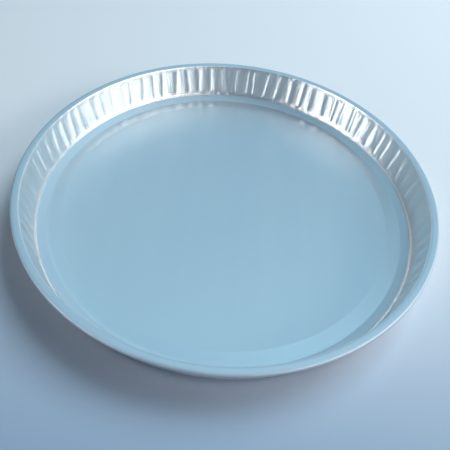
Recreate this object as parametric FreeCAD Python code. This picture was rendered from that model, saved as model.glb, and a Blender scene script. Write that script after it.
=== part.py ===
import FreeCAD, Part
import math
import os

# Round aluminium weighing pan, pressed from one disc of foil, in millimetres.
# Origin: centre of the circle that the pan stands on. +Z is up, out of the open mouth.

# Overall size
RIM_DIAMETER = 90.0        # outside of the curled rim
PAN_HEIGHT = 9.2           # table to the top of the rim
FOIL = 0.1                 # foil thickness

# Rim: a flat flange whose outer edge is curled down and under
FLANGE_WIDTH = 1.6         # wall's top corner to the outside of the curl
CURL_HEIGHT = 0.75         # depth of the curl, outside to outside
CURL_HEM = 0.75            # reach of the curl back under the flange
TOP_BEND_RADIUS = 0.45     # wall to flange

# Wall, with rounded flutes between narrow creases
WALL_DRAFT_DEG = 8.0       # lean of the wall, outwards from upright
FLUTE_COUNT = 82
FLUTE_BULGE = 0.24         # how far a flute's crest stands out of the plain wall
CREASE_DEPTH = 0.12        # how far a crease stands into the pan
FLUTE_RUN_OUT = 0.8        # height in which the flutes fade into the plain wall
CREASE_WANDER = 0.2        # share of a flute's width by which the creases wander
BULGE_SPREAD = 0.25        # share by which the flutes differ in depth
WANDER_RIPPLES = (31, 19)  # ripples of the wandering creases round the pan
BULGE_RIPPLES = 23         # ripples of the flutes' depth round the pan

# Bottom: sloped shoulder, narrow standing ring, raised middle panel
STANDING_DIAMETER = 80.2   # outer edge of the flat ring that touches the table
STANDING_WIDTH = 0.7       # width of that ring
SHOULDER_SLOPE_DEG = 27.0  # slope from the standing ring up to the corner
CORNER_BEND_RADIUS = 0.5   # shoulder to wall
PANEL_DIAMETER = 74.0      # flat middle panel
PANEL_RAISE = 0.3          # panel above the standing ring

# Flats that round each bend of the foil
CORNER_FLAT_COUNT = 1
TOP_FLAT_COUNT = 2
CURL_FLAT_COUNT = 1


def crossing(first, second):
    """Where two straight lines in the section cross."""
    (ax, az), (bx, bz) = first
    (cx, cz), (dx, dz) = second
    ux, uz = bx - ax, bz - az
    vx, vz = dx - cx, dz - cz
    share = ((cx - ax) * vz - (cz - az) * vx) / (ux * vz - uz * vx)
    return (ax + ux * share, az + uz * share)


def moved_sideways(start, end, distance):
    """A straight stretch of the section, moved to the left of its direction."""
    length = math.dist(start, end)
    side = ((start[1] - end[1]) / length, (end[0] - start[0]) / length)
    return tuple((p[0] + side[0] * distance, p[1] + side[1] * distance) for p in (start, end))


def bend(before, corner, after, radius, flats):
    """The corners of a bend: flats that touch an arc of its radius."""
    heading = math.atan2(corner[1] - before[1], corner[0] - before[0])
    leaving = math.atan2(after[1] - corner[1], after[0] - corner[0])
    turn = (leaving - heading + math.pi) % (2 * math.pi) - math.pi
    step = turn / (flats + 1)
    half_flat = radius * math.tan(abs(step) / 2)
    back = radius * math.tan(abs(turn) / 2) - half_flat
    place = (corner[0] - back * math.cos(heading), corner[1] - back * math.sin(heading))
    corners = [place]
    for _ in range(flats):
        heading += step
        place = (place[0] + 2 * half_flat * math.cos(heading),
                 place[1] + 2 * half_flat * math.sin(heading))
        corners.append(place)
    return corners


def section_lines():
    """The foil's middle line in four stretches: bottom, foot of the wall, top of it, curl."""
    half = FOIL / 2
    draft, slope = math.radians(WALL_DRAFT_DEG), math.radians(SHOULDER_SLOPE_DEG)
    panel_edge = (PANEL_DIAMETER / 2, half + PANEL_RAISE)
    ring_edge = (STANDING_DIAMETER / 2, half)
    top = (RIM_DIAMETER / 2 - FLANGE_WIDTH, PAN_HEIGHT - half)
    shoulder = (ring_edge, (ring_edge[0] + math.cos(slope), half + math.sin(slope)))
    wall = (top, (top[0] - math.sin(draft), top[1] - math.cos(draft)))
    corner = crossing(shoulder, wall)
    curl_top = (RIM_DIAMETER / 2 - half, top[1])
    curl_base = (curl_top[0], top[1] - CURL_HEIGHT + FOIL)
    curl_radius = (CURL_HEIGHT - FOIL) / 2
    hem = (RIM_DIAMETER / 2 - CURL_HEM, curl_base[1])
    bottom = [(0, panel_edge[1]), panel_edge, (ring_edge[0] - STANDING_WIDTH, half)]
    foot = [ring_edge] + bend(ring_edge, corner, top, CORNER_BEND_RADIUS, CORNER_FLAT_COUNT)
    head = bend(corner, top, curl_top, TOP_BEND_RADIUS, TOP_FLAT_COUNT)
    curl = bend(top, curl_top, curl_base, curl_radius, CURL_FLAT_COUNT)
    curl += bend(curl_top, curl_base, hem, curl_radius, CURL_FLAT_COUNT) + [hem]
    return bottom, foot, head, curl


def skin_lines(distance):
    """The four stretches moved to one side of the foil's middle."""
    stretches = section_lines()
    line = [point for stretch in stretches for point in stretch]
    runs = [moved_sideways(a, b, distance) for a, b in zip(line, line[1:])]
    side = [runs[0][0]] + [crossing(a, b) for a, b in zip(runs, runs[1:])] + [runs[-1][1]]
    moved = []
    for stretch in stretches:
        moved.append(side[:len(stretch)])
        side = side[len(stretch):]
    return moved


def round_point(radius, turn, height):
    """A point at a radius, an angle and a height."""
    return FreeCAD.Vector(radius * math.cos(turn), radius * math.sin(turn), height)


def crease_turn(index):
    """Angle of a crease round the pan, in radians."""
    share = index / FLUTE_COUNT
    first, second = (math.sin(2 * math.pi * ripples * share) for ripples in WANDER_RIPPLES)
    return 2 * math.pi * (index + CREASE_WANDER * (first + second) / 2) / FLUTE_COUNT


def plain_points(index, place):
    """Two corners of the plain wall at one flute: its crease and its middle."""
    start, stop = crease_turn(index), crease_turn(index + 1)
    return [round_point(place[0], turn, place[1]) for turn in (start, (start + stop) / 2)]


def flute_points(index, place):
    """Four corners of the full flute: crease, flank, crest, flank."""
    start, stop = crease_turn(index), crease_turn(index + 1)
    depth = 1 + BULGE_SPREAD * math.sin(2 * math.pi * BULGE_RIPPLES * index / FLUTE_COUNT)
    rise = CREASE_DEPTH + FLUTE_BULGE * depth
    points = []
    for share in (0, 0.25, 0.5, 0.75):
        stand = 4 * share * (1 - share) * rise - CREASE_DEPTH
        points.append(round_point(place[0] * (1 + 2 * stand / RIM_DIAMETER),
                                  start + (stop - start) * share, place[1]))
    return points


def closed_ring(points_at, place):
    """Corners of the wall all the way round at one level, ending at the first."""
    ring = [point for index in range(FLUTE_COUNT) for point in points_at(index, place)]
    return ring + ring[:1]


def flat_face(*corners):
    """A flat face between its corners."""
    return Part.Face(Part.makePolygon(list(corners) + [corners[0]]))


def facets_between(lower, upper):
    """Flat four-cornered faces between two levels with as many corners."""
    return [flat_face(a, b, c, d) for a, b, c, d in zip(lower, lower[1:], upper[1:], upper)]


def run_out(plain, fluted):
    """Three-cornered faces in which the flutes fade into the plain wall."""
    faces = []
    for index, (a, b) in enumerate(zip(plain, plain[1:])):
        first, middle, last = fluted[2 * index:2 * index + 3]
        outer, inner = (last, first) if index % 2 else (first, last)
        near, far = (b, a) if index % 2 else (a, b)
        faces += [flat_face(near, outer, middle), flat_face(near, middle, far),
                  flat_face(far, middle, inner)]
    return faces


def circle(place):
    """A plain circle round the pan."""
    return Part.Wire(Part.makeCircle(place[0], FreeCAD.Vector(0, 0, place[1])))


def ring_face(outline, hole):
    """A flat ring between two closed outlines."""
    return Part.makeFace([outline, hole], "Part::FaceMakerBullseye")


def turned(line):
    """Faces turned round the axis from a line in the section."""
    axis = (FreeCAD.Vector(), FreeCAD.Vector(0, 0, 1))
    return [Part.makeLine(FreeCAD.Vector(a[0], 0, a[1]), FreeCAD.Vector(b[0], 0, b[1]))
            .revolve(*axis, 360) for a, b in zip(line, line[1:]) if a[0] > 0]


def skin(distance):
    """All faces of one side of the foil."""
    bottom, foot, head, curl = skin_lines(distance)
    foot_rings = [closed_ring(plain_points, place) for place in foot]
    head_rings = [closed_ring(plain_points, place) for place in head]
    (low_radius, low), (high_radius, high) = foot[-1], head[0]
    slant = (high_radius - low_radius) / (high - low)
    low_full = (low_radius + slant * FLUTE_RUN_OUT, low + FLUTE_RUN_OUT)
    high_full = (high_radius - slant * FLUTE_RUN_OUT, high - FLUTE_RUN_OUT)
    flute_foot, flute_head = (closed_ring(flute_points, place) for place in (low_full, high_full))
    faces = [Part.Face(circle(bottom[1]))] + turned(bottom) + turned(curl)
    faces.append(ring_face(Part.makePolygon(foot_rings[0]), circle(bottom[-1])))
    faces.append(ring_face(circle(curl[0]), Part.makePolygon(head_rings[-1])))
    for rings in (foot_rings, head_rings):
        for lower, upper in zip(rings, rings[1:]):
            faces += facets_between(lower, upper)
    faces += run_out(foot_rings[-1], flute_foot) + run_out(head_rings[0], flute_head)
    faces += facets_between(flute_foot, flute_head)
    return faces, curl[-1]


def weighing_pan():
    """The pan's solid: both sides of the foil and the edge that ends the curl."""
    (inside, inside_end), (outside, outside_end) = skin(FOIL / 2), skin(-FOIL / 2)
    shell = Part.Compound(inside + outside + turned([inside_end, outside_end]))
    shell.sewShape()
    pan = Part.Solid(shell.Shells[0])
    if pan.Volume < 0:
        pan.reverse()
    return pan


os.makedirs("parts", exist_ok=True)
pan = weighing_pan()
pan.exportStep("parts/weighing_pan.step")
print("weighing_pan: valid", pan.isValid(), "solids", len(pan.Solids), "faces", len(pan.Faces),
      "volume mm3 %.1f" % pan.Volume)
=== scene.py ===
"""Looks of the aluminium weighing pan: the pressed foil, its finish, the table and the studio."""
import logging
import math
from dataclasses import dataclass, field
from enum import Enum

import bmesh
import bpy
from mathutils import Matrix, Vector


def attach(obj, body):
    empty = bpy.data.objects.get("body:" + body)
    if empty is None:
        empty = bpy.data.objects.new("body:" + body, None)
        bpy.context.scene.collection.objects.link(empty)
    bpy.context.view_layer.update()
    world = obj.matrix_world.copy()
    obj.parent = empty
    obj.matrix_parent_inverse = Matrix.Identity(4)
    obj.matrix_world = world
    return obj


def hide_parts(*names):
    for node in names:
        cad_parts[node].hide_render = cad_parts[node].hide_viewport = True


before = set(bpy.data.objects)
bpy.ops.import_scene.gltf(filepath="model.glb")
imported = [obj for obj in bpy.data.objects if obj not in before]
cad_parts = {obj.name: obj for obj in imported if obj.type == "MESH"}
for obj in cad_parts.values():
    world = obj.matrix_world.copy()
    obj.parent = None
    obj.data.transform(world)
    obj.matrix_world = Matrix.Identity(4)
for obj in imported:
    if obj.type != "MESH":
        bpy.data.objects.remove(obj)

LOG = logging.getLogger("weighing_pan")
MM = 0.001
MERGE = 1e-7
MIX_SHARE, MIX_LOW, MIX_HIGH, MIX_COLOUR = 0, 6, 7, 2
NOISE_MIDDLE = 0.5
WALL_CORNERS = slice(4, 6)


class Bend(Enum):
    """How finely a bend of the foil is rounded, in segments."""

    GENTLE = 4
    ROUND = 6
    CURLED = 8


class Lamp(Enum):
    """The soft lamps of the studio, by where they hang."""

    KEY = "key"
    RIGHT_WINDOW = "right_window"


class Wire:
    """A shader socket that reads as a value in Python sums."""

    def __init__(self, bench: "Bench", socket: bpy.types.NodeSocket) -> None:
        """Keeps the socket and the bench that adds nodes beside it.

        Args:
            bench: The material's node builder.
            socket: The output socket that carries the value.
        """
        self.bench = bench
        self.socket = socket

    def maths(self, operation: str, *others: "Wire | float", first: bool = True) -> "Wire":
        """Adds one Math node.

        Args:
            operation: The Math node's operation.
            others: The other values.
            first: Whether this value comes before the others.

        Returns:
            The node's value.
        """
        terms = (self, *others) if first else (*others, self)
        return self.bench.node("ShaderNodeMath", {"operation": operation}, *terms)

    def __add__(self, other: "Wire | float") -> "Wire":
        """This value plus another."""
        return self.maths("ADD", other)

    __radd__ = __add__

    def __sub__(self, other: "Wire | float") -> "Wire":
        """This value less another."""
        return self.maths("SUBTRACT", other)

    def __rsub__(self, other: "Wire | float") -> "Wire":
        """Another value less this one."""
        return self.maths("SUBTRACT", other, first=False)

    def __mul__(self, other: "Wire | float") -> "Wire":
        """This value times another."""
        return self.maths("MULTIPLY", other)

    __rmul__ = __mul__

    def ramp(self, low: float, high: float) -> "Wire":
        """A soft step.

        Args:
            low: The value that gives 0.
            high: The value that gives 1.

        Returns:
            A share from 0 to 1 with eased ends.
        """
        settings = {"interpolation_type": "SMOOTHSTEP"}
        limits = {"From Min": low, "From Max": high}
        return self.bench.node("ShaderNodeMapRange", settings, self, **limits)


class Bench:
    """Builds the nodes of one material or world."""

    def __init__(self, tree: bpy.types.NodeTree) -> None:
        """Starts on an empty tree.

        Args:
            tree: The node tree to fill.
        """
        self.tree = tree
        tree.nodes.clear()

    def feed(self, socket: bpy.types.NodeSocket, value: "Wire | float | tuple") -> None:
        """Links or sets one input.

        Args:
            socket: The input socket.
            value: A wire to link or a value to set.
        """
        if isinstance(value, Wire):
            self.tree.links.new(value.socket, socket)
        elif isinstance(value, tuple) and socket.type == "RGBA" and len(value) == 3:
            socket.default_value = (*value, 1.0)
        else:
            socket.default_value = value

    def node(self, kind: str, settings: dict | None = None, *values: "Wire | float | tuple",
             out: str | int = 0, **named: "Wire | float | tuple") -> Wire:
        """Adds any node.

        Args:
            kind: The node's type.
            settings: The node's own settings, set first.
            values: Inputs in their order.
            out: The output to read.
            named: Inputs by their name.

        Returns:
            The chosen output.
        """
        made = self.tree.nodes.new(kind)
        for key, value in (settings or {}).items():
            setattr(made, key, value)
        for socket, value in zip(made.inputs, values):
            self.feed(socket, value)
        for name, value in named.items():
            self.feed(made.inputs[name.replace("_", " ")], value)
        return Wire(self, made.outputs[out])

    def blend(self, share: Wire | float, low: "Wire | tuple", high: "Wire | tuple") -> Wire:
        """Mixes two colours.

        Args:
            share: 0 gives the first colour and 1 the second.
            low: The first colour.
            high: The second colour.

        Returns:
            The mixed colour.
        """
        made = self.tree.nodes.new("ShaderNodeMix")
        made.data_type = "RGBA"
        for number, value in ((MIX_SHARE, share), (MIX_LOW, low), (MIX_HIGH, high)):
            self.feed(made.inputs[number], value)
        return Wire(self, made.outputs[MIX_COLOUR])

    def show(self, surface: Wire, kind: str = "ShaderNodeOutputMaterial") -> None:
        """Links a shader to the tree's output."""
        self.feed(self.tree.nodes.new(kind).inputs["Surface"], surface)


@dataclass(frozen=True)
class Grain:
    """A noise in the foil, with its repeats per metre along each axis."""

    repeats: tuple[float, float, float]
    octaves: float

    def draw(self, bench: Bench, place: Wire) -> Wire:
        """Adds the noise to a material.

        Args:
            bench: The material's node builder.
            place: Object coordinates in metres.

        Returns:
            The noise, about 0.5 on average.
        """
        mapped = bench.node("ShaderNodeMapping", None, place, Scale=self.repeats)
        return bench.node("ShaderNodeTexNoise", None, Vector=mapped, Scale=1.0, Detail=self.octaves)


@dataclass(frozen=True)
class FoilFinish:
    """Rolled and pressed aluminium foil: satin floor, burnished wall, fine rolling grain, and
    painted shade on the rolled outer edge.

    A pair of lengths, in metres, is a soft border: where a change starts and where it is complete.
    """

    name: str = "rolled_foil"
    bright: tuple[float, float, float] = (0.98, 0.93, 0.90)
    satin: tuple[float, float, float] = (0.61, 0.72, 0.785)
    satin_streak: tuple[float, float, float] = (0.63, 0.74, 0.80)
    # painted shade: the darker colour laid on the rolled outer edge, where the curl turns away from
    # the light
    edge_shade_colour: tuple[float, float, float] = (0.54, 0.60, 0.66)
    satin_metal: float = 0.72
    satin_roughness: float = 0.47
    wall_roughness: float = 0.30
    curl_roughness: float = 0.56
    wall_foot: tuple[float, float] = (0.00092, 0.00108)
    wall_head: tuple[float, float] = (0.00900, 0.00914)
    inside_the_curl: tuple[float, float] = (0.0444, 0.0442)
    ring_inside: tuple[float, float] = (0.0368, 0.0371)
    ring_outside: tuple[float, float] = (0.0400, 0.0402)
    ring_polish: float = 0.45
    curl: tuple[float, float] = (0.0443, 0.0447)
    edge: tuple[float, float] = (0.0446, 0.0449)
    # how much of the painted shade the rolled outer edge takes
    edge_shade_share: float = 0.55
    fine_grain: Grain = Grain((900.0, 26.0, 26.0), 3.0)
    grain_depth: float = 0.000002
    grain_strength: float = 0.35
    streaks: Grain = Grain((160.0, 7.0, 7.0), 2.0)
    streak_noise: tuple[float, float] = (0.3, 0.75)
    streak_dulling: float = 0.10
    streak_relief: float = 2.0
    clouds: Grain = Grain((38.0, 38.0, 38.0), 3.0)
    cloud_dulling: float = 0.06
    cloud_metal: float = 0.1
    crinkles: Grain = Grain((700.0, 700.0, 120.0), 3.0)
    crinkle_depth: float = 0.0005
    crinkle_strength: float = 0.5

    def make(self) -> bpy.types.Material:
        """Builds the foil's material.

        Returns:
            The material.
        """
        material = bpy.data.materials.new(self.name)
        material.use_nodes = True
        bench = Bench(material.node_tree)
        place = bench.node("ShaderNodeTexCoord", out="Object")
        height = bench.node("ShaderNodeSeparateXYZ", None, place, out="Z")
        flat = bench.node("ShaderNodeVectorMath", {"operation": "MULTIPLY"}, place, (1.0, 1.0, 0.0))
        radius = bench.node("ShaderNodeVectorMath", {"operation": "LENGTH"}, flat, out="Value")
        wall = height.ramp(*self.wall_foot) - height.ramp(*self.wall_head)
        wall = wall * radius.ramp(*self.inside_the_curl)
        ring = radius.ramp(*self.ring_inside) - radius.ramp(*self.ring_outside)
        edge = radius.ramp(*self.edge)
        streaks = self.streaks.draw(bench, place)
        cloud = self.clouds.draw(bench, place) - NOISE_MIDDLE
        satin = (streaks - NOISE_MIDDLE) * self.streak_dulling + cloud * self.cloud_dulling
        polish = (wall + ring * self.ring_polish) * (self.wall_roughness - self.satin_roughness)
        wear = (radius.ramp(*self.curl) + edge) * (self.curl_roughness - self.satin_roughness)
        metal = self.satin_metal + wall * (1.0 - self.satin_metal) + cloud * self.cloud_metal
        colour = bench.blend(streaks.ramp(*self.streak_noise), self.satin, self.satin_streak)
        colour = bench.blend(wall, colour, self.bright)
        # The rolled outer edge is darkened in colour as painted shade; its added roughness stands
        # for wear.
        surface = bench.node("ShaderNodeBsdfPrincipled", None, Metallic=metal,
                             Roughness=self.satin_roughness + satin + polish + wear,
                             Base_Color=bench.blend(edge * self.edge_shade_share, colour, self.edge_shade_colour),
                             Normal=self.relief(bench, place, streaks, wall))
        bench.show(surface)
        return material

    def relief(self, bench: Bench, place: Wire, streaks: Wire, wall: Wire) -> Wire:
        """Presses the rolling grain into the foil, and fine crinkles into its wall.

        Args:
            bench: The material's node builder.
            place: Object coordinates in metres.
            streaks: The broad rolling streaks.
            wall: 1 on the wall and 0 elsewhere.

        Returns:
            The surface's normal.
        """
        grain = self.fine_grain.draw(bench, place) + streaks * self.streak_relief
        rolled = bench.node("ShaderNodeBump", None, Strength=self.grain_strength,
                            Distance=self.grain_depth, Height=grain, out="Normal")
        crinkle = self.crinkles.draw(bench, place) * wall
        return bench.node("ShaderNodeBump", None, Strength=self.crinkle_strength,
                          Distance=self.crinkle_depth, Height=crinkle, Normal=rolled, out="Normal")


@dataclass(frozen=True)
class TableFinish:
    """A smooth, pale blue table top with painted light and shade: lighter towards the back and the
    right, darker and bluer towards the front, where less light falls. Lengths are in metres.
    """

    name: str = "pale_table"
    painted_light_far: tuple[float, float, float] = (0.95, 0.96, 0.99)
    # painted shade: near is the darker, bluer colour of the table's front
    near: tuple[float, float, float] = (0.325, 0.445, 0.61)
    painted_shade_to_light: tuple[float, float] = (-0.075, 0.020)
    painted_light_slant: float = 0.05
    roughness: float = 0.55

    def make(self) -> bpy.types.Material:
        """Builds the table's material.

        Returns:
            The material.
        """
        material = bpy.data.materials.new(self.name)
        material.use_nodes = True
        bench = Bench(material.node_tree)
        place = bench.node("ShaderNodeTexCoord", out="Object")
        depth = bench.node("ShaderNodeSeparateXYZ", None, place, out="Y")
        side = bench.node("ShaderNodeSeparateXYZ", None, place, out="X")
        # painted light and shade: the colour runs from the shaded front to the lit back, lighter
        # towards the right
        share = (depth + side * self.painted_light_slant).ramp(*self.painted_shade_to_light)
        surface = bench.node("ShaderNodeBsdfPrincipled", None, Roughness=self.roughness,
                             Base_Color=bench.blend(share, self.near, self.painted_light_far))
        bench.show(surface)
        return material


@dataclass
class PressedPan:
    """The pan, pressed from one disc of foil. Lengths are in millimetres."""

    rim_diameter: float = 90.0
    height: float = 9.2
    foil: float = 0.1
    flange_width: float = 1.6
    curl_height: float = 0.75
    curl_hem: float = 0.75
    top_bend: float = 0.45
    wall_draft: float = 8.0
    flutes: int = 82
    flute_bulge: float = 0.18
    crease_depth: float = 0.11
    run_out: float = 1.0
    flute_fullness: float = 3.2
    crease_lean: float = 0.16
    crease_wander: float = 0.2
    bulge_spread: float = 0.25
    wander_ripples: tuple[int, int] = (31, 19)
    lean_ripples: tuple[int, int] = (27, 8)
    bulge_ripples: int = 23
    standing_diameter: float = 80.2
    standing_width: float = 0.7
    shoulder_slope: float = 27.0
    corner_bend: float = 0.5
    ring_bends: tuple[float, float] = (1.2, 0.4)
    panel_diameter: float = 74.0
    panel_raise: float = 0.3
    panel_bend: float = 1.5
    curl_bend_shares: tuple[float, float] = (0.7, 0.3)
    steps_per_flute: int = 8
    run_out_rows: int = 4
    floor_rows: tuple[float, ...] = (1.5, 6.0, 12.0, 18.0, 24.0, 30.0)
    finish: FoilFinish = field(default_factory=FoilFinish)

    def corners(self) -> list[tuple[float, float, float, Bend]]:
        """Corners of the foil's middle line, from the middle of the floor to the curl's end.

        Returns:
            Radius, height, bend radius and fineness of each corner.
        """
        half = self.foil / 2
        draft, slope = math.radians(self.wall_draft), math.radians(self.shoulder_slope)
        ring, top = self.standing_diameter / 2, self.height - half
        wall_top = self.rim_diameter / 2 - self.flange_width
        reach = wall_top - ring - (top - half) * math.tan(draft)
        reach /= 1 - math.tan(slope) * math.tan(draft)
        outer, curl = self.rim_diameter / 2 - half, self.curl_height - self.foil
        inner_bend, outer_bend = self.ring_bends
        upper_share, lower_share = self.curl_bend_shares
        return [
            (0.0, half + self.panel_raise, 0.0, Bend.GENTLE),
            (self.panel_diameter / 2, half + self.panel_raise, self.panel_bend, Bend.GENTLE),
            (ring - self.standing_width, half, inner_bend, Bend.GENTLE),
            (ring, half, outer_bend, Bend.GENTLE),
            (ring + reach, half + reach * math.tan(slope), self.corner_bend, Bend.ROUND),
            (wall_top, top, self.top_bend, Bend.ROUND),
            (outer, top, curl * upper_share, Bend.CURLED),
            (outer, top - curl, curl * lower_share, Bend.GENTLE),
            (self.rim_diameter / 2 - self.curl_hem, top - curl, 0.0, Bend.GENTLE),
        ]

    def draw_section(self, mesh: bmesh.types.BMesh) -> None:
        """Draws the middle line by pulling one vertex along, then rounds its corners.

        Args:
            mesh: An empty mesh that takes the line.
        """
        corners = self.corners()
        end = mesh.verts.new((0.0, 0.0, corners[0][1] * MM))
        made = [end]
        for radius, height, _, _ in corners[1:]:
            pulled = bmesh.ops.extrude_vert_indiv(mesh, verts=[end])["verts"]
            place = Vector((radius * MM, 0.0, height * MM))
            bmesh.ops.translate(mesh, verts=pulled, vec=place - end.co)
            end = pulled[0]
            made.append(end)
        turns = []
        for before, vertex, after in zip(made, made[1:], made[2:]):
            turns.append((vertex.co - before.co).angle(after.co - vertex.co))
        for vertex, turn, (_, _, bend, fineness) in zip(made[1:-1], turns, corners[1:-1]):
            bmesh.ops.bevel(mesh, geom=[vertex], offset=bend * MM * math.tan(turn / 2),
                            offset_type="OFFSET", segments=fineness.value, profile=0.5,
                            affect="VERTICES", material=-1)

    def cut_rows(self, mesh: bmesh.types.BMesh) -> None:
        """Cuts the floor into rings, and the wall into rows that can follow the flutes' fading.

        Args:
            mesh: The mesh with the middle line.
        """
        outwards, upwards = Vector((1, 0, 0)), Vector((0, 0, 1))
        rows = [(outwards, radius) for radius in self.floor_rows]
        low, high = self.wall_ends()
        for step in range(1, self.run_out_rows + 1):
            run = self.run_out * step / self.run_out_rows
            rows += [(upwards, low + run), (upwards, high - run)]
        rows.append((upwards, (low + high) / 2))
        for normal, distance in rows:
            bmesh.ops.bisect_plane(mesh, geom=mesh.verts[:] + mesh.edges[:], dist=MERGE,
                                   plane_co=normal * distance * MM, plane_no=normal)

    def wall_ends(self) -> tuple[float, float]:
        """Heights between which the wall is straight.

        Returns:
            The lower and the upper height, in millimetres.
        """
        corner, top = self.corners()[WALL_CORNERS]
        upright = math.radians(90 - self.wall_draft)
        low = corner[1] + corner[2] * math.tan((upright - math.radians(self.shoulder_slope)) / 2)
        return low, top[1] - top[2] * math.tan(upright / 2)

    def crease_turn(self, index: int, up: float) -> float:
        """Finds a crease's angle round the pan.

        Args:
            index: The crease's number.
            up: -1 at the wall's foot and 1 at its top.

        Returns:
            The angle, in radians.
        """
        share = 2 * math.pi * index / self.flutes
        ripple = sum(math.sin(count * share) for count in self.wander_ripples)
        lean = sum(math.sin(count * share) for count in self.lean_ripples)
        moved = self.crease_wander * ripple / 2 + self.crease_lean * up * lean / 2
        return 2 * math.pi * (index + moved) / self.flutes

    def press(self, vertex: bmesh.types.BMVert) -> None:
        """Moves one vertex of the turned foil into the flutes.

        Args:
            vertex: A vertex of the plain turned foil.
        """
        x, y, z = (value / MM for value in vertex.co)
        radius = math.hypot(x, y)
        if radius * MM < MERGE:
            return
        steps = self.flutes * self.steps_per_flute
        step = round(math.atan2(y, x) / (2 * math.pi) * steps)
        index, part = divmod(step % steps, self.steps_per_flute)
        across = part / self.steps_per_flute
        low, high = self.wall_ends()
        outside_the_ring = radius > self.standing_diameter / 2
        up = max(-1.0, min(1.0, 2 * (z - low) / (high - low) - 1)) if outside_the_ring else 0.0
        start, stop = self.crease_turn(index, up), self.crease_turn(index + 1, up)
        turn = start + (stop - start) * across
        share = max(0.0, min(1.0, (z - low) / self.run_out, (high - z) / self.run_out))
        share = share * share * (3 - 2 * share) if outside_the_ring else 0.0
        wave = math.sin(2 * math.pi * self.bulge_ripples * index / self.flutes)
        depth = 1 + self.bulge_spread * wave
        rise = self.crease_depth + self.flute_bulge * depth
        crown = 1 - abs(2 * across - 1) ** self.flute_fullness
        radius += share * (crown * rise - self.crease_depth)
        vertex.co = Vector((radius * math.cos(turn), radius * math.sin(turn), z)) * MM

    def make(self) -> bpy.types.Object:
        """Builds the pan's object.

        Returns:
            The finished, dressed pan.
        """
        mesh = bmesh.new()
        self.draw_section(mesh)
        self.cut_rows(mesh)
        bmesh.ops.spin(mesh, geom=mesh.verts[:] + mesh.edges[:], cent=(0, 0, 0), axis=(0, 0, 1),
                       dvec=(0, 0, 0), angle=2 * math.pi, steps=self.flutes * self.steps_per_flute,
                       use_merge=True, use_duplicate=False)
        bmesh.ops.remove_doubles(mesh, verts=mesh.verts[:], dist=MERGE)
        for vertex in mesh.verts:
            self.press(vertex)
        bmesh.ops.recalc_face_normals(mesh, faces=mesh.faces[:])
        for face in mesh.faces:
            face.smooth = True
        data = bpy.data.meshes.new("pressed_pan")
        mesh.to_mesh(data)
        mesh.free()
        pan = bpy.data.objects.new("pressed_pan", data)
        bpy.context.scene.collection.objects.link(pan)
        thick = pan.modifiers.new("foil_thickness", "SOLIDIFY")
        thick.thickness = self.foil * MM
        thick.offset = 0.0
        thick.use_even_offset = True
        pan.data.materials.append(self.finish.make())
        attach(pan, "root")
        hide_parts("weighing_pan")
        return pan


@dataclass
class PhotoCamera:
    """The photograph's camera, fitted to the pan's circles, in degrees and millimetres."""

    elevation: float = 46.51
    roll: float = 5.99
    aim_right: float = 0.11
    aim_up: float = -3.18
    distance: float = 106.155
    height: float = 1.2
    lens: float = 36.72

    def make(self) -> bpy.types.Object:
        """Places the camera.

        Returns:
            The camera's object.
        """
        rise = math.radians(self.elevation)
        back = Vector((0, -math.cos(rise), math.sin(rise)))
        right = Vector((1, 0, 0))
        place = back * self.distance + Vector((0, 0, self.height))
        ahead, up = -back, right.cross(-back)
        ahead, right = self.turned(ahead, right, self.aim_right)
        ahead, up = self.turned(ahead, up, self.aim_up)
        right, up = self.turned(right, up, self.roll)
        data = bpy.data.cameras.new("camera")
        data.lens = self.lens
        data.clip_start = MM
        camera = bpy.data.objects.new("camera", data)
        camera.matrix_world = Matrix.LocRotScale(
            place * MM, Matrix((right, up, -ahead)).transposed(), None)
        bpy.context.scene.collection.objects.link(camera)
        bpy.context.scene.camera = camera
        return camera

    @staticmethod
    def turned(first: Vector, second: Vector, degrees: float) -> tuple[Vector, Vector]:
        """Turns two directions at a right angle in their plane.

        Args:
            first: The direction that turns towards the second.
            second: The direction at a right angle to it.
            degrees: The turn.

        Returns:
            Both directions after the turn.
        """
        turn = math.radians(degrees)
        return (first * math.cos(turn) + second * math.sin(turn),
                second * math.cos(turn) - first * math.sin(turn))


def direction(azimuth: float, elevation: float) -> tuple[float, float, float]:
    """Turns an angle round the pan and an angle above the table into a direction.

    Args:
        azimuth: Degrees from the right side, anticlockwise from above.
        elevation: Degrees above the table.

    Returns:
        The direction from the pan, of length 1.
    """
    turn, rise = math.radians(azimuth), math.radians(elevation)
    return math.cos(turn) * math.cos(rise), math.sin(turn) * math.cos(rise), math.sin(rise)


@dataclass(frozen=True)
class SoftLamp:
    """A soft lamp, placed as seen from the pan. Angles are in degrees and lengths in metres."""

    role: Lamp
    azimuth: float
    elevation: float
    width: float
    depth: float
    radiance: float
    colour: tuple[float, float, float] = (0.72, 0.90, 1.0)
    mirrored: bool = True
    distance: float = 0.8

    def make(self) -> bpy.types.Object:
        """Hangs the lamp, facing the pan.

        Returns:
            The lamp's object.
        """
        away = Vector(direction(self.azimuth, self.elevation))
        data = bpy.data.lights.new(self.role.value, "AREA")
        data.shape = "RECTANGLE"
        data.size, data.size_y = self.width, self.depth
        data.energy = self.radiance * self.width * self.depth * math.pi
        data.color = self.colour
        lamp = bpy.data.objects.new(self.role.value, data)
        lamp.rotation_mode = "QUATERNION"
        lamp.rotation_quaternion = away.to_track_quat("Z", "Y")
        lamp.location = away * self.distance
        lamp.visible_camera = False
        lamp.visible_glossy = self.mirrored
        bpy.context.scene.collection.objects.link(lamp)
        return lamp


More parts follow.
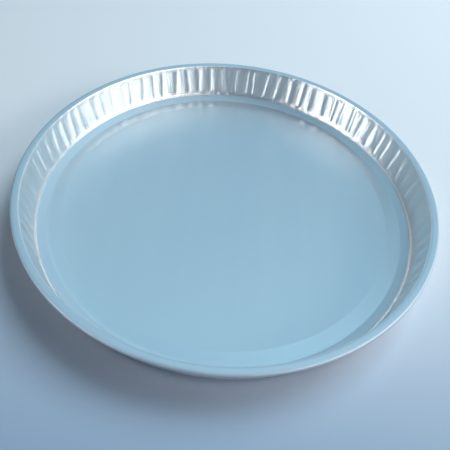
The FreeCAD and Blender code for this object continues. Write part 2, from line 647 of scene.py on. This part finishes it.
@dataclass(frozen=True)
class Card:
    """A soft-edged round card of the backdrop, as seen from the pan. Angles are in degrees."""

    azimuth: float
    elevation: float
    outer: float
    inner: float
    colour: tuple[float, float, float]

    def share(self, bench: Bench, way: Wire) -> Wire:
        """Finds how much of the card lies in a direction.

        Args:
            bench: The world's node builder.
            way: The direction, of length 1.

        Returns:
            0 outside the card and 1 well inside it.
        """
        near = bench.node("ShaderNodeVectorMath", {"operation": "DOT_PRODUCT"}, way,
                          direction(self.azimuth, self.elevation), out="Value")
        return near.ramp(math.cos(math.radians(self.outer)), math.cos(math.radians(self.inner)))


@dataclass(frozen=True)
class Surroundings:
    """A pale backdrop that the foil mirrors, a darker room in front, and cards that light the foil.

    A pair of numbers is a soft border, by the height or the depth of a direction of length 1.
    """

    backdrop_low: tuple[float, float, float] = (0.565, 0.79, 0.92)
    backdrop_high: tuple[float, float, float] = (0.275, 0.47, 0.62)
    backdrop_rise: tuple[float, float] = (0.10, 0.46)
    overhead: tuple[float, float, float] = (0.42, 0.717, 0.90)
    overhead_rise: tuple[float, float] = (0.89, 0.97)
    room_low: tuple[float, float, float] = (0.097, 0.132, 0.20)
    room_high: tuple[float, float, float] = (0.20, 0.34, 0.45)
    room_rise: tuple[float, float] = (0.80, 0.98)
    room_to_backdrop: tuple[float, float] = (-0.15, 0.25)
    shown: tuple[float, float, float] = (0.70, 0.84, 0.92)
    share_on_matt: float = 0.2
    cards: tuple[Card, ...] = (
        Card(208.0, 25.0, 18.0, 9.0, (7.0, 6.9, 6.8)),
        Card(-40.0, 27.0, 27.0, 14.0, (2.6, 2.6, 2.55)),
        Card(140.0, 16.0, 28.0, 20.0, (0.10, 0.12, 0.13)),
        Card(128.0, 56.0, 24.0, 10.0, (0.53, 0.83, 1.02)),
        Card(52.0, 69.0, 18.0, 8.0, (0.87, 1.34, 1.56)),
    )

    def make(self) -> bpy.types.World:
        """Builds the world, dimmer for matt things than for mirrors and the camera.

        Returns:
            The world.
        """
        world = bpy.data.worlds.new("studio")
        world.use_nodes = True
        bpy.context.scene.world = world
        bench = Bench(world.node_tree)
        way = bench.node("ShaderNodeTexCoord", out="Generated")
        ahead = bench.node("ShaderNodeSeparateXYZ", None, way, out="Y")
        up = bench.node("ShaderNodeSeparateXYZ", None, way, out="Z")
        behind = bench.blend(up.ramp(*self.backdrop_rise), self.backdrop_low, self.backdrop_high)
        behind = bench.blend(up.ramp(*self.overhead_rise), behind, self.overhead)
        front = bench.blend(up.ramp(*self.room_rise), self.room_low, self.room_high)
        colour = bench.blend(ahead.ramp(*self.room_to_backdrop), front, behind)
        for card in self.cards:
            colour = bench.blend(card.share(bench, way), colour, card.colour)
        mirror = bench.node("ShaderNodeLightPath", out="Is Glossy Ray")
        seen = bench.node("ShaderNodeLightPath", out="Is Camera Ray")
        colour = bench.blend(seen, colour, self.shown)
        strength = self.share_on_matt + (mirror + seen) * (1.0 - self.share_on_matt)
        light = bench.node("ShaderNodeBackground", None, colour, strength)
        bench.show(light, "ShaderNodeOutputWorld")
        return world


@dataclass
class Studio:
    """Table, lamps and surroundings."""

    table_size: float = 6.0
    lamps: tuple[SoftLamp, ...] = (
        SoftLamp(Lamp.KEY, 38.0, 54.0, 0.50, 0.45, 6.4, mirrored=False),
        SoftLamp(Lamp.RIGHT_WINDOW, -6.0, 27.0, 0.55, 0.22, 6.6, (0.88, 0.89, 0.88)),
    )
    table: TableFinish = field(default_factory=TableFinish)
    surroundings: Surroundings = field(default_factory=Surroundings)

    def make_table(self) -> bpy.types.Object:
        """Lays the table under the pan.

        Returns:
            The table's object.
        """
        mesh = bmesh.new()
        bmesh.ops.create_grid(mesh, x_segments=1, y_segments=1, size=self.table_size / 2)
        data = bpy.data.meshes.new("table")
        mesh.to_mesh(data)
        mesh.free()
        table = bpy.data.objects.new("table", data)
        table.data.materials.append(self.table.make())
        bpy.context.scene.collection.objects.link(table)
        return table

    def make(self) -> None:
        """Sets up the whole studio."""
        self.make_table()
        self.surroundings.make()
        for lamp in self.lamps:
            lamp.make()
        bpy.context.scene.view_settings.view_transform = "Standard"


def main() -> None:
    """Builds the camera, the pan and the studio."""
    logging.basicConfig(level=logging.INFO)
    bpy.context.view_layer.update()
    PhotoCamera().make()
    pan = PressedPan().make()
    LOG.info("%s: %d faces before its thickness", pan.name, len(pan.data.polygons))
    studio = Studio()
    studio.make()
    LOG.info("studio: table and %d lamps", len(studio.lamps))


if __name__ == "__main__":
    main()
